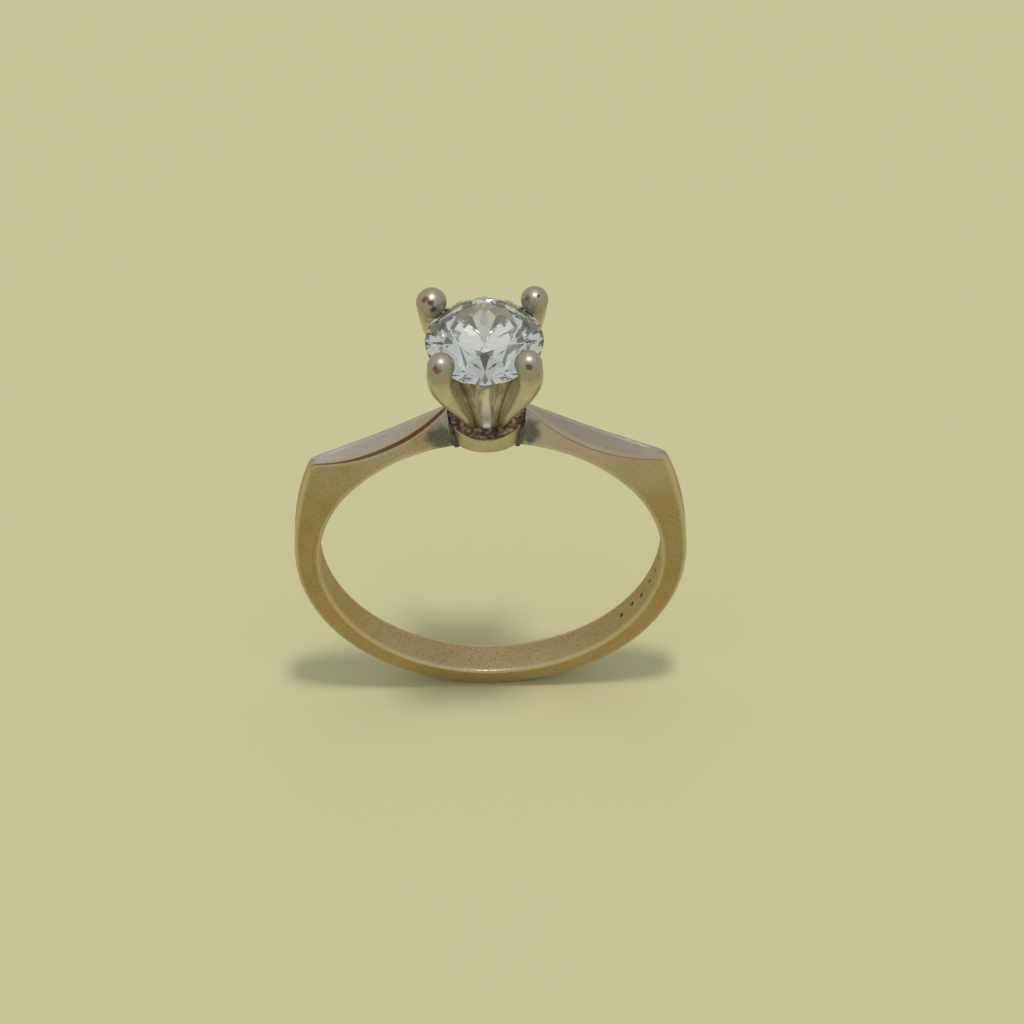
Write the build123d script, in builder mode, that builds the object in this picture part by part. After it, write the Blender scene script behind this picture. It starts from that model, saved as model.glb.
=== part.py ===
from build123d import *
import os
from math import atan, cos, radians, sin

# An engagement ring: a tapering shank with hollow-swept shoulders, a short collar soldered
# between the shoulders, and a four-claw head that stands on the collar and holds one round
# brilliant. Millimetres. The origin is the centre of the finger bore, Y runs along the finger,
# Z goes up through the middle of the stone, and the shoulders lie on the X side to side.

# ------------------------------------------------------------------ shank
bore_radius = 8.45                # a finger size of 16.9 mm across
leg_thickness = 1.24              # from the bore out, at the bottom and up to the widest point
leg_width = 1.90                  # along the finger, on the bore, at the bottom and the legs
shoulder_width = 2.40             # the same, up beside the head
corner_out = 0.21                 # where the flank and the hollow top meet, before rounding:
corner_drop = 2.13                # out from the bore's side, and down from the bore's top
corner_round = 0.50
hollow_radius = 14.0              # the sweep of the hollow top of each shoulder
shoulder_tip_rise = 1.55          # from the bore's top up to where the hollow ends at the head

# The front and back of the shank lean together outwards. Stations stand every 15 degrees round
# the bore, from -105 (just past the bottom) through 0 (the widest point) to 90 (the head). Each
# gives how far the width has grown from the leg's to the shoulder's there, and how much each
# side leans in for each millimetre outwards.
first_station = -105
station_step = 15
lean_stations = (
    (0.0, 0.24),
    (0.0, 0.24),
    (0.0, 0.24),
    (0.0, 0.24),
    (0.0, 0.24),
    (0.0, 0.24),
    (0.0, 0.25),
    (0.1, 0.27),
    (0.3, 0.30),
    (0.6, 0.35),
    (0.95, 0.47),
    (1.0, 0.78),
    (1.0, 0.66),
    (1.0, 0.50),
)

# ------------------------------------------------------------------ collar, peg and solder
collar_radius = 1.80
collar_height = 0.85              # from the bore's top
collar_rim = 0.14                 # the wall left round the recess that the solder fills
recess_depth = 0.14
peg_radius = 0.80
peg_clearance = 0.03
peg_socket_depth = 0.55           # how far the peg goes up into the cup
seam_gap = 0.12                   # solder between a shoulder and the collar
solder_climb = 0.30               # how far the ring of solder rises up the cup's neck

# ------------------------------------------------------------------ stone
stone_radius = 2.82
girdle_rise = 4.99                # from the collar's top up to the middle of the girdle
stone_tilt = 2.5                  # degrees: the stone sits a little higher at the back
girdle_thickness = 0.08
table_radius = 1.62               # to the corners of the table
crown_height = 0.90
star_share = 0.50                 # how far the star facets reach from the table to the girdle
pavilion_depth = 2.45
lower_share = 0.77                # how far the lower girdle facets reach towards the culet

# ------------------------------------------------------------------ cup and claws
neck_radius = 1.12
neck_height = 0.40
cup_belly_radius = 1.72           # the cup's outside, half way up
cup_rim_inset = 0.30              # from the stone's edge in to the cup's rim
cup_wall = 0.34
culet_room = 0.80                 # from the stone's point down to the bottom of the cup's hollow
rim_drop = 0.16                   # the cup's rim, below the girdle
flute_foot_radius = 0.26          # each flute is a tapering groove down the cup
flute_rim_radius = 0.95
flute_depth = 0.17

bead_radius = 0.66
claw_foot_reach = 1.04
claw_foot_rise = 0.34             # from the bottom of the neck
claw_foot_turn = 9                # degrees: each foot is turned in towards the cup's front or back
# Each claw is bent by hand: its azimuth, how far out from the stone's edge and how high over the
# girdle its bead stands, how far the claw bows out below the bead, and how stout it is.
claw_bends = {
    "claw_front_left": (225, 0.10, 0.43, 0.20, 1.0),
    "claw_front_right": (315, 0.10, 0.47, 0.20, 1.0),
    "claw_rear_left": (137, 0.62, 0.33, 0.02, 1.12),
    "claw_rear_right": (43, 0.50, 0.45, -0.08, 1.0),
}
# Each station of a claw is its share of the height from the foot to the bead, its share of the
# way out from the foot to the bead, its share of the bow, and its half width and half depth.
claw_stations = (
    (0.0, 0.0, 0.0, 0.12, 0.08),
    (0.16, 0.22, 0.0, 0.34, 0.20),
    (0.36, 0.52, 0.1, 0.48, 0.32),
    (0.56, 0.79, 0.5, 0.58, 0.42),
    (0.74, 0.96, 1.0, 0.62, 0.50),
    (0.90, 1.02, 0.8, 0.63, 0.58),
    (1.0, 1.0, 0.0, 0.63, 0.63),
)

# ------------------------------------------------------------------ worked out from these
outer_radius = bore_radius + leg_thickness
corner = (bore_radius + corner_out, bore_radius - corner_drop)
shoulder_tip_z = bore_radius + shoulder_tip_rise
collar_top_z = bore_radius + collar_height
girdle_z = collar_top_z + girdle_rise
blank_width = 2 * shoulder_width
table_height = girdle_thickness / 2 + crown_height
culet_depth = girdle_thickness / 2 + pavilion_depth
recess_floor_z = collar_top_z - recess_depth
neck_top_z = recess_floor_z + neck_height
claw_foot_z = recess_floor_z + claw_foot_rise
peg_top_z = recess_floor_z + peg_socket_depth
cup_rim_radius = stone_radius - cup_rim_inset
cup_floor_z = girdle_z - culet_depth - culet_room
shoulder_end_radius = collar_radius + seam_gap


def at(reach, azimuth, z):
    """The point at a reach and an azimuth round Z."""
    return Vector(reach * cos(radians(azimuth)), reach * sin(radians(azimuth)), z)


# ------------------------------------------------------------------ shank, before it is parted
# One leaning side: a long wedge that follows the bore from below the bottom up past the head.
lean_reach_in = 1.2
lean_reach_out = 2.6
with BuildPart() as leaning_side:
    for index, (growth, lean) in enumerate(lean_stations):
        angle = first_station + index * station_step
        half_width = (leg_width + growth * (shoulder_width - leg_width)) / 2
        station = Plane(
            origin=(bore_radius * cos(radians(angle)), 0, bore_radius * sin(radians(angle))),
            x_dir=(cos(radians(angle)), 0, sin(radians(angle))),
            z_dir=(sin(radians(angle)), 0, -cos(radians(angle))),
        )
        with BuildSketch(station):
            with BuildLine():
                Polyline(
                    (-lean_reach_in, half_width + lean_reach_in * lean),
                    (lean_reach_out, half_width - lean_reach_out * lean),
                    (lean_reach_out, blank_width),
                    (-lean_reach_in, blank_width),
                    close=True,
                )
            make_face()
    loft()

with BuildPart() as ring_blank:
    with BuildSketch(Plane.XZ):
        with BuildLine():
            belly = ThreePointArc(
                (0, -outer_radius),
                at(outer_radius, -45, 0),
                (outer_radius, 0),
            )
            flank = TangentArc(belly @ 1, corner, tangent=(0, 1))
            hollow = RadiusArc(flank @ 1, (shoulder_end_radius, shoulder_tip_z), hollow_radius)
            Polyline(hollow @ 1, (0, shoulder_tip_z), (0, -outer_radius))
        make_face()
        fillet(vertices().sort_by(Axis.X)[-2], corner_round)
    extrude(amount=blank_width / 2, both=True)
    add(leaning_side.part, mode=Mode.SUBTRACT)
    mirror(leaning_side.part, about=Plane.XZ, mode=Mode.SUBTRACT)
    Cylinder(bore_radius, blank_width, rotation=(90, 0, 0), mode=Mode.SUBTRACT)
    mirror(about=Plane.YZ)

with BuildPart() as shank:
    add(ring_blank.part)
    with BuildSketch(Plane.XY):
        Circle(shoulder_end_radius)
    extrude(amount=shoulder_tip_z + bore_radius, mode=Mode.SUBTRACT)


# ------------------------------------------------------------------ solder beside the collar
def shoulder_seam(side):
    """The solder between the collar and one shoulder, on the -1 or the +1 side."""
    with BuildPart() as seam:
        add(ring_blank.part)
        with BuildSketch(Plane.XY):
            Circle(shoulder_end_radius)
            Circle(collar_radius, mode=Mode.SUBTRACT)
        extrude(amount=collar_top_z, mode=Mode.INTERSECT)
        split(bisect_by=Plane(origin=(0, 0, 0), z_dir=(side, 0, 0)), keep=Keep.TOP)
    return seam


solder_seam_left = shoulder_seam(-1)
solder_seam_right = shoulder_seam(1)

# ------------------------------------------------------------------ collar and peg
with BuildPart() as collar:
    with BuildSketch(Plane.XY):
        Circle(collar_radius)
        Circle(peg_radius + peg_clearance, mode=Mode.SUBTRACT)
    extrude(amount=collar_top_z)
    with BuildSketch(Plane.XY.offset(recess_floor_z)):
        Circle(collar_radius - collar_rim)
    extrude(amount=recess_depth, mode=Mode.SUBTRACT)
    Cylinder(bore_radius, blank_width, rotation=(90, 0, 0), mode=Mode.SUBTRACT)

with BuildPart() as head_peg:
    with BuildSketch(Plane.XY):
        Circle(peg_radius)
    extrude(amount=peg_top_z)
    Cylinder(bore_radius, blank_width, rotation=(90, 0, 0), mode=Mode.SUBTRACT)

# ------------------------------------------------------------------ stone
# A round brilliant has 8 main facets, 8 stars and 16 upper girdle facets on its crown, and 16
# lower girdle facets and 8 mains on its pavilion. Stars and girdle facets meet the mains at
# these corners.
half_step = radians(22.5)
quarter_step = 11.25
table_flat = table_radius * cos(half_step)
star_reach = table_flat + star_share * (stone_radius - table_flat)
crown_rise = crown_height / (stone_radius - table_radius)
star_height = crown_rise * (stone_radius - star_reach * cos(half_step))
star_rise = (crown_height - star_height) / (star_reach - table_flat)
upper_rise = star_height / (cos(radians(quarter_step)) * (stone_radius - star_reach))
lower_reach = (1 - lower_share) * stone_radius
pavilion_rise = pavilion_depth / stone_radius
lower_depth = pavilion_rise * (stone_radius - lower_reach * cos(half_step))
lower_rise = lower_depth / (cos(radians(quarter_step)) * (stone_radius - lower_reach))


def facet(azimuth, rise, reach, height, facing):
    """A facet's plane through the point at reach and height; facing is 1 for up, -1 for down."""
    tilt = atan(rise)
    outwards = at(sin(tilt), azimuth, facing * cos(tilt))
    return Plane(origin=at(reach, azimuth, height), z_dir=outwards)


# The stone is cut level, about the middle of its girdle, and then set at its tilt.
girdle_edge = girdle_thickness / 2
girdle_flat = stone_radius * cos(radians(quarter_step))
with BuildPart() as cut_stone:
    with BuildSketch(Plane.XY.offset(-culet_depth)):
        Circle(stone_radius)
    extrude(amount=culet_depth + table_height)
    for step in range(8):
        main = 45 * step
        facets = [
            facet(main, crown_rise, stone_radius, girdle_edge, 1),
            facet(main, pavilion_rise, stone_radius, -girdle_edge, -1),
            facet(main + 22.5, star_rise, table_flat, table_height, 1),
        ]
        for azimuth in (main - quarter_step, main + quarter_step):
            facets.append(facet(azimuth, upper_rise, girdle_flat, girdle_edge, 1))
            facets.append(facet(azimuth, lower_rise, girdle_flat, -girdle_edge, -1))
        for cut in facets:
            split(bisect_by=cut, keep=Keep.BOTTOM)

stone_seat = Location((0, 0, girdle_z), (stone_tilt, 0, 0))
stone_plane = Plane(stone_seat)
with BuildPart() as stone:
    with Locations(stone_seat):
        add(cut_stone.part)

# The round space that the cut stone just fills, which the cup and the claws are cut back to.
with BuildPart() as stone_space:
    with BuildSketch(stone_plane * Plane.XZ):
        with BuildLine():
            Polyline(
                (0, table_height),
                (table_radius, table_height),
                (star_reach, girdle_edge + star_height),
                (stone_radius, girdle_edge),
                (stone_radius, -girdle_edge),
                (lower_reach, -girdle_edge - lower_depth),
                (0, -culet_depth),
                close=True,
            )
        make_face()
    revolve(axis=Axis(stone_plane.origin, stone_plane.z_dir))


# ------------------------------------------------------------------ claws
def claw(azimuth, beyond_edge, bead_rise, bow, stoutness):
    """One claw: a petal that grows out of its foot on the neck, bellies out, and ends in a bead."""
    reach = stone_radius + beyond_edge
    bead_z = girdle_z + bead_rise
    front_or_back = 270 if azimuth > 180 else 90
    turn = claw_foot_turn if azimuth < front_or_back else -claw_foot_turn
    points = []
    for height_share, reach_share, bow_share, _, _ in claw_stations:
        station_reach = claw_foot_reach + reach_share * (reach - claw_foot_reach) + bow_share * bow
        station_z = claw_foot_z + height_share * (bead_z - claw_foot_z)
        points.append(at(station_reach, azimuth + turn * (1 - height_share), station_z))
    across = (-sin(radians(azimuth)), cos(radians(azimuth)), 0)
    with BuildPart() as petal:
        for index, (_, _, _, half_width, half_depth) in enumerate(claw_stations):
            before = points[max(index - 1, 0)]
            after = points[min(index + 1, len(points) - 1)]
            with BuildSketch(Plane(origin=points[index], x_dir=across, z_dir=after - before)):
                Ellipse(half_width * stoutness, half_depth * stoutness)
        loft()
        with Locations(points[-1]):
            Sphere(bead_radius * stoutness)
        add(stone_space.part, mode=Mode.SUBTRACT)
    return petal


claws = {name: claw(*bend) for name, bend in claw_bends.items()}

# ------------------------------------------------------------------ cup
# The cup's wall is turned a little too tall, and its rim is then cut parallel to the girdle.
cup_top_z = girdle_z + rim_drop
belly_z = (neck_top_z + cup_top_z) / 2
hollow_floor_radius = neck_radius - cup_wall
flute_rise = Vector(cup_rim_radius - neck_radius, 0, cup_top_z - neck_top_z)
with BuildPart() as head_cup:
    with BuildSketch(Plane.XZ):
        with BuildLine():
            wall_line = ThreePointArc(
                (neck_radius, neck_top_z),
                (cup_belly_radius, belly_z),
                (cup_rim_radius, cup_top_z),
            )
            Polyline(
                wall_line @ 1,
                (0, cup_top_z),
                (0, recess_floor_z),
                (neck_radius, recess_floor_z),
                wall_line @ 0,
            )
        make_face()
    revolve(axis=Axis.Z)
    with BuildSketch(Plane.XZ):
        with BuildLine():
            Polyline(
                (0, cup_floor_z),
                (hollow_floor_radius, cup_floor_z),
                (cup_rim_radius - cup_wall, cup_top_z),
                (0, cup_top_z),
                close=True,
            )
        make_face()
    revolve(axis=Axis.Z, mode=Mode.SUBTRACT)
    split(bisect_by=stone_plane.offset(-girdle_edge - rim_drop), keep=Keep.BOTTOM)
    add(stone_space.part, mode=Mode.SUBTRACT)
    for petal in claws.values():
        add(petal.part, mode=Mode.SUBTRACT)
    for azimuth in (0, 90, 180, 270):
        rise = flute_rise.rotate(Axis.Z, azimuth)
        foot = Plane(origin=at(neck_radius + flute_foot_radius - flute_depth, azimuth, neck_top_z), z_dir=rise)
        with BuildSketch(foot):
            Circle(flute_foot_radius)
        with BuildSketch(foot.offset(rise.length)):
            Circle(flute_rim_radius)
        loft(mode=Mode.SUBTRACT)
    with BuildSketch(Plane.XY.offset(recess_floor_z)):
        Circle(peg_radius + peg_clearance)
    extrude(amount=peg_socket_depth, mode=Mode.SUBTRACT)

# ------------------------------------------------------------------ solder under the head
with BuildPart() as solder_ring:
    with BuildSketch(Plane.XZ):
        with BuildLine():
            Polyline(
                (neck_radius, recess_floor_z),
                (collar_radius - collar_rim, recess_floor_z),
                (collar_radius - collar_rim, collar_top_z),
                (neck_radius, recess_floor_z + solder_climb),
                close=True,
            )
        make_face()
    revolve(axis=Axis.Z)

# ------------------------------------------------------------------ the finished pieces
pieces = {
    "shank": shank,
    "collar": collar,
    "solder_seam_left": solder_seam_left,
    "solder_seam_right": solder_seam_right,
    "solder_ring": solder_ring,
    "head_peg": head_peg,
    "head_cup": head_cup,
    **claws,
    "stone": stone,
}
os.makedirs("parts", exist_ok=True)
for name, piece in pieces.items():
    piece.part.label = name
    export_step(piece.part, f"parts/{name}.step")
    print(name, round(piece.part.volume, 3), "mm3", len(piece.part.solids()), "solid")
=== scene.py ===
# %% [markdown]
# # An engagement ring, modelled piece by piece
#
# This lesson makes a solitaire ring the way a goldsmith does: a band, a collar soldered between
# its shoulders, a cup with four claws, and one round brilliant. The engineering model is loaded
# first, as a frame that stays where it is. Each new piece takes the place of one of its parts.

# %% Load the frame
from math import acos, atan, atan2, cos, degrees, hypot, pi, radians, sin, sqrt, tan

import bmesh
import bpy
from mathutils import Matrix, Vector, noise


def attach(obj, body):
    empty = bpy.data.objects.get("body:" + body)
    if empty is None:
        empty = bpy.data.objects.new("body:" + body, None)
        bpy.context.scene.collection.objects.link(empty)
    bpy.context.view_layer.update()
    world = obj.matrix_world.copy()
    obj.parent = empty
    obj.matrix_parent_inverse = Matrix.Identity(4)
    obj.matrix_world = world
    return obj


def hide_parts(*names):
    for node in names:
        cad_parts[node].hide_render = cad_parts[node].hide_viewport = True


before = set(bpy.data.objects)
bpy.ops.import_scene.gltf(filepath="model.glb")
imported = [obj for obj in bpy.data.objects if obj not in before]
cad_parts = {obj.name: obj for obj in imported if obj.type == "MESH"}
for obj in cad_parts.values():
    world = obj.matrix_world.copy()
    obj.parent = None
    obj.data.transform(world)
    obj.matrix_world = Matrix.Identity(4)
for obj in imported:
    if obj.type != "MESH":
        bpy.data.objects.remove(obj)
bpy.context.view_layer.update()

mm = 0.001

# %% [markdown]
# ## Sizes shared by several pieces
#
# A ring is measured from its bore, the circle that the finger fills. Pieces are modelled in
# millimetres round the bore's centre, with Y along the finger and Z up through the stone. Sizes
# that two pieces share are written here once, so that what touches in the frame touches here.

# %% Shared sizes, in millimetres
bore_radius = 8.45
collar_radius = 1.80
collar_top = 9.30
recess_floor = 9.16
recess_radius = 1.66
neck_radius = 1.12
neck_top = 9.56
peg_radius = 0.80
seam_outside = 1.92
girdle_height = 14.29
stone_radius = 2.82
stone_tilt = radians(2.5)
girdle_half = 0.04
print("stone", 2 * stone_radius, "mm across, girdle at", girdle_height)


# %% [markdown]
# ## Small helpers
#
# `share_between` runs straight from 0 to 1 between two values, `smooth_step` with no kink, and
# `bore_height` is how high the bore's wall stands at a distance to the side. `settle` ends the
# work on every piece: it merges doubled points, turns the faces outwards, scales to metres, shades
# smooth except over sharp edges, and puts the piece in the place of its part of the frame.

# %% Helpers
def share_between(value, low, high):
    return min(max((value - low) / (high - low), 0.0), 1.0)


def smooth_step(value, low, high):
    share = share_between(value, low, high)
    return share * share * (3 - 2 * share)


def spread(point, times):
    """Moves a point away from the Z axis."""
    point.co.x *= times
    point.co.y *= times


def only(kind, parts):
    return [part for part in parts if isinstance(part, kind)]


def bore_height(side):
    return sqrt(bore_radius**2 - side**2)


def from_bore(angle):
    """The way out from the bore's centre, at an angle up from the side."""
    return Vector((cos(radians(angle)), 0, sin(radians(angle))))


def placed(name, data):
    """A new object in the scene."""
    made = bpy.data.objects.new(name, data)
    bpy.context.scene.collection.objects.link(made)
    return made


def settle(bm, name, node, finish, crease=38):
    """Turns a finished bmesh into a piece of the ring that replaces one node of the frame."""
    bmesh.ops.remove_doubles(bm, verts=bm.verts, dist=1e-4)
    bmesh.ops.recalc_face_normals(bm, faces=bm.faces)
    bmesh.ops.scale(bm, vec=(mm, mm, mm), verts=bm.verts)
    mesh = bpy.data.meshes.new(name)
    bm.to_mesh(mesh)
    open_edges = sum(1 for edge in bm.edges if not edge.is_manifold)
    bm.free()
    mesh.shade_smooth()
    mesh.set_sharp_from_angle(angle=radians(crease))
    mesh.materials.append(finish)
    piece = placed(name, mesh)
    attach(piece, "root")
    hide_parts(node)
    print(name, len(mesh.polygons), "faces,", open_edges, "open edges")
    return piece


# %% [markdown]
# ## Finishes as sums
#
# A procedural finish is a small calculation that runs at every point of the surface. `Wire` lets
# Python's own signs wire it: with two wires `grain` and `wear`, `1 - wear * grain` makes the
# Math nodes. Other nodes come from `Finish.node`, their settings first and then their sockets.

# %% The wiring class
class Wire:
    """A value that flows through a finish."""

    def __init__(self, finish, socket):
        self.finish = finish
        self.socket = socket

    def __add__(self, other):
        return self.finish.sum("ADD", self, other)

    def __sub__(self, other):
        return self.finish.sum("SUBTRACT", self, other)

    def __rsub__(self, other):
        return self.finish.sum("SUBTRACT", other, self)

    def __mul__(self, other):
        return self.finish.sum("MULTIPLY", self, other)

    __radd__ = __add__
    __rmul__ = __mul__


class Finish:
    """A node tree that is being wired, for a material or for the world."""

    def __init__(self, tree):
        self.tree = tree
        tree.nodes.clear()

    def node(self, kind, settings=None, values=None, output=0):
        made = self.tree.nodes.new(kind)
        for setting, value in (settings or {}).items():
            setattr(made, setting, value)
        for socket, value in (values or {}).items():
            if isinstance(value, Wire):
                self.tree.links.new(value.socket, made.inputs[socket])
            else:
                made.inputs[socket].default_value = value
        return Wire(self, made.outputs[output] if made.outputs else None)

    def sum(self, operation, first, second):
        return self.node("ShaderNodeMath", {"operation": operation}, {0: first, 1: second})

    def size_of(self, value):
        """A value without its sign."""
        return self.sum("ABSOLUTE", value, 0.0)

    def measured(self, operation, first, second):
        """One number from two vectors: their DISTANCE or their DOT_PRODUCT."""
        vectors = {0: first, 1: second}
        return self.node("ShaderNodeVectorMath", {"operation": operation}, vectors, output="Value")

    def scaled(self, place, scale):
        values = {"Vector": place, "Scale": scale}
        return self.node("ShaderNodeMapping", {"vector_type": "POINT"}, values)

    def place(self):
        """Where a point is on the ring, in millimetres."""
        return self.scaled(self.node("ShaderNodeTexCoord", output="Object"), (1 / mm, 1 / mm, 1 / mm))

    def axes(self, place):
        return [self.node("ShaderNodeSeparateXYZ", values={0: place}, output=axis) for axis in range(3)]

    def here(self):
        """A point's place, and its side, depth and height."""
        place = self.place()
        return place, *self.axes(place)

    def painted(self, name):
        """A value kept on the mesh itself, from 0 to 1."""
        return self.node("ShaderNodeAttribute", {"attribute_name": name}, output="Fac")

    def grain(self, place, scale, detail=2.0, rough=0.5, stretch=None):
        """A noise round 0.5, with scale lumps to the millimetre; stretch changes that by axis."""
        if stretch:
            place = self.scaled(place, stretch)
        values = {"Vector": place, "Scale": scale, "Detail": detail, "Roughness": rough}
        return self.node("ShaderNodeTexNoise", {"noise_dimensions": "3D"}, values)

    def step(self, value, low, high):
        """0 below low, 1 above high, with a soft change between; high may be the smaller."""
        values = {"Value": value, "From Min": low, "From Max": high}
        return self.node("ShaderNodeMapRange", {"interpolation_type": "SMOOTHSTEP"}, values)

    def blend(self, share, first, second):
        """Paints the second colour over the first by the share."""
        return self.node("ShaderNodeMix", {"data_type": "RGBA"}, {0: share, 6: first, 7: second}, output=2)

    def layered(self, colour, *layers):
        """Paints layers over a colour, each a share and its own colour."""
        for share, tone in layers:
            colour = self.blend(share, colour, tone)
        return colour

    def bump(self, height, depth):
        """Turns a height of 0 to 1 into small relief, depth millimetres deep."""
        return self.node("ShaderNodeBump", values={"Height": height, "Distance": depth * mm, "Strength": 1.0})


def new_finish(name):
    material = bpy.data.materials.new(name)
    material.use_nodes = True
    return material, Finish(material.node_tree)


def surface(finish, values):
    """Ends a finish in one Principled surface."""
    shader = finish.node("ShaderNodeBsdfPrincipled", values=values, output="BSDF")
    finish.node("ShaderNodeOutputMaterial", values={"Surface": shader})


def metal_surface(finish, colour, rough, relief, metallic=1.0, coat=None):
    """Ends a metal's finish; coat is the weight and the roughness of a clear shine over it."""
    values = {"Base Color": colour, "Metallic": metallic, "Roughness": rough, "Normal": relief}
    if coat:
        values.update(zip(("Coat Weight", "Coat Roughness"), coat))
    surface(finish, values)


# %% [markdown]
# ## The band's finish
#
# The band is a pale yellow gold that has been worn for years. Its flat sides are matt and finely
# pitted, with dirt in the pits, and its edges stay polished because they are what rubs. Values
# that the band's own mesh keeps say where its edges, hollow tops and punch marks are, and the
# rest comes from where a point is.

# %% The band's bare metal
left_top_grey = (0.58, 0.53, 0.47, 1)
right_top_grey = (0.44, 0.385, 0.35, 1)

band_gold, finish = new_finish("worn_band_gold")
place, side, depth, height = finish.here()
kept_values = ("edge", "groove", "under_edge", "top", "dirt")
edge, groove, under, top, dirt = (finish.painted(name) for name in kept_values)
cloud = finish.grain(place, 0.55, 3.0)
grain = finish.grain(place, 11.0, 4.0, 0.7)
pits = finish.step(finish.grain(place, 9.5, 3.0, 0.6), 0.57, 0.69)
low_down = finish.step(height, 6.5, 1.0)
up_high = finish.step(height, 5.9, 6.4)
mid_leg = finish.step(height, 6.5, 3.0) * finish.step(height, -7.0, -2.0)

top_grey = finish.blend(finish.step(side, -1.0, 4.0), left_top_grey, right_top_grey)
colour = finish.layered(
    (0.55, 0.43, 0.26, 1),
    (finish.step(cloud, 0.35, 0.65), (0.49, 0.365, 0.205, 1)),
    # painted reflection: the lower band is painted more orange, as the yellow floor shows in it
    (finish.step(height, 2.0, -9.0) * 0.6, (0.60, 0.42, 0.19, 1)),
    (mid_leg * 0.4, (0.45, 0.30, 0.12, 1)),
    (pits * (0.12 + low_down * 0.4), (0.22, 0.15, 0.075, 1)),
    (finish.step(grain, 0.42, 0.60) * 0.36, (0.32, 0.235, 0.13, 1)),
    (top * (0.92 - finish.step(grain, 0.46, 0.6) * 0.42), top_grey),
    (edge * (1 - groove * up_high) * 0.5, (0.78, 0.70, 0.52, 1)),
)
print("the bare metal has", len(finish.tree.nodes), "nodes")

# %% [markdown]
# A red-brown reflection is painted along the front edge of the left hollow top, widening towards
# the head, and a thin brown shadow is painted just under the right one's edge. Beside the solder
# is a ragged patch of green and purple tarnish, light is painted on the right shoulder's face so
# that it is paler than the left, and shade is painted in a dark rim where the band meets the collar.

# %% Painted reflection, shadows and light, and tarnish on the band
tarnish_green = (0.040, 0.082, 0.055, 1)
tarnish_purple = (0.10, 0.055, 0.075, 1)
patch_side = 2.25
patch_height = 8.60
right_patch_nearer = 0.24
right_patch_higher = 0.28

on_left = finish.step(side, -1.5, -2.2)
on_right = finish.step(side, 1.5, 2.2)
in_front = finish.step(depth, 0.05, -0.05)
towards_head = finish.step(side, -9.0, -2.5)
# painted reflection: a red-brown line along the front edge of the left hollow top
painted_reflection_left = finish.step(groove + towards_head * 0.62, 0.80, 0.98) * on_left * up_high * in_front
# painted shadow: a thin brown line just under the right hollow top's edge
painted_shadow_right = finish.step(under, 0.1, 0.9) * on_right * up_high * in_front * 0.6
clean_face = (1 - top) * (1 - painted_reflection_left) * in_front * finish.step(height, 7.0, 8.0)
# painted light on the right shoulder's face
painted_light_right = (1 - top) * (1 - painted_shadow_right) * in_front * on_right * finish.step(height, 3.0, 6.0)

aside = finish.size_of(side)
out = aside + on_right * right_patch_nearer - patch_side
level = height - finish.step(side, -1.0, 1.0) * right_patch_higher - patch_height
from_patch = finish.sum("POWER", out * out * 1.9 + level * level * 2.6, 0.5)
ragged = finish.grain(place, 1.7, 4.0, 0.6) - 0.5
tarnish = finish.step(from_patch + ragged * 1.5, 1.15, 0.45) * clean_face
tarnish = tarnish * (1 - finish.step(grain, 0.50, 0.68) * 0.45)
hue = finish.step(finish.grain(place, 3.4, 3.0) + (height - 8.95) * 0.55 * on_right, 0.42, 0.60)

colour = finish.layered(
    colour,
    # painted reflection, red-brown, stronger towards the head
    (painted_reflection_left * (0.72 + towards_head * 0.2), (0.17, 0.055, 0.03, 1)),
    # painted shadow under the right edge
    (painted_shadow_right, (0.12, 0.075, 0.045, 1)),
    (dirt * 0.9, (0.07, 0.045, 0.025, 1)),
    # painted light, paler on the right shoulder
    (painted_light_right * 0.32, (0.68, 0.57, 0.46, 1)),
    (finish.step(aside, 2.9, 2.3) * clean_face * 0.5, (0.50, 0.48, 0.45, 1)),
    (tarnish * 0.76, finish.blend(hue, tarnish_green, tarnish_purple)),
    # painted shade: a dark rim on the band where it meets the collar
    (finish.step(aside, 1.86, 1.66) * clean_face * 0.7, (0.05, 0.035, 0.025, 1)),
)
rough = 0.40 + grain * 0.16 + pits * 0.2 - edge * 0.22
relief = finish.bump((grain * 0.5 - pits * 0.8) * (1 - edge * 0.9) + cloud * 0.5, 0.014)
metal_surface(finish, colour, rough, relief)
print("the band's finish has", len(finish.tree.nodes), "nodes")

# %% [markdown]
# ## The head's finish
#
# The head is a whiter gold than the band, because a white claw doesn't tint the stone. The claws
# have soft scratches and faint brown patches, and their beads have gone grey, with small dark
# stains and painted red-brown reflections. Where a claw's mesh has the value flank, on its inner
# side, it takes the cup's tone.

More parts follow.
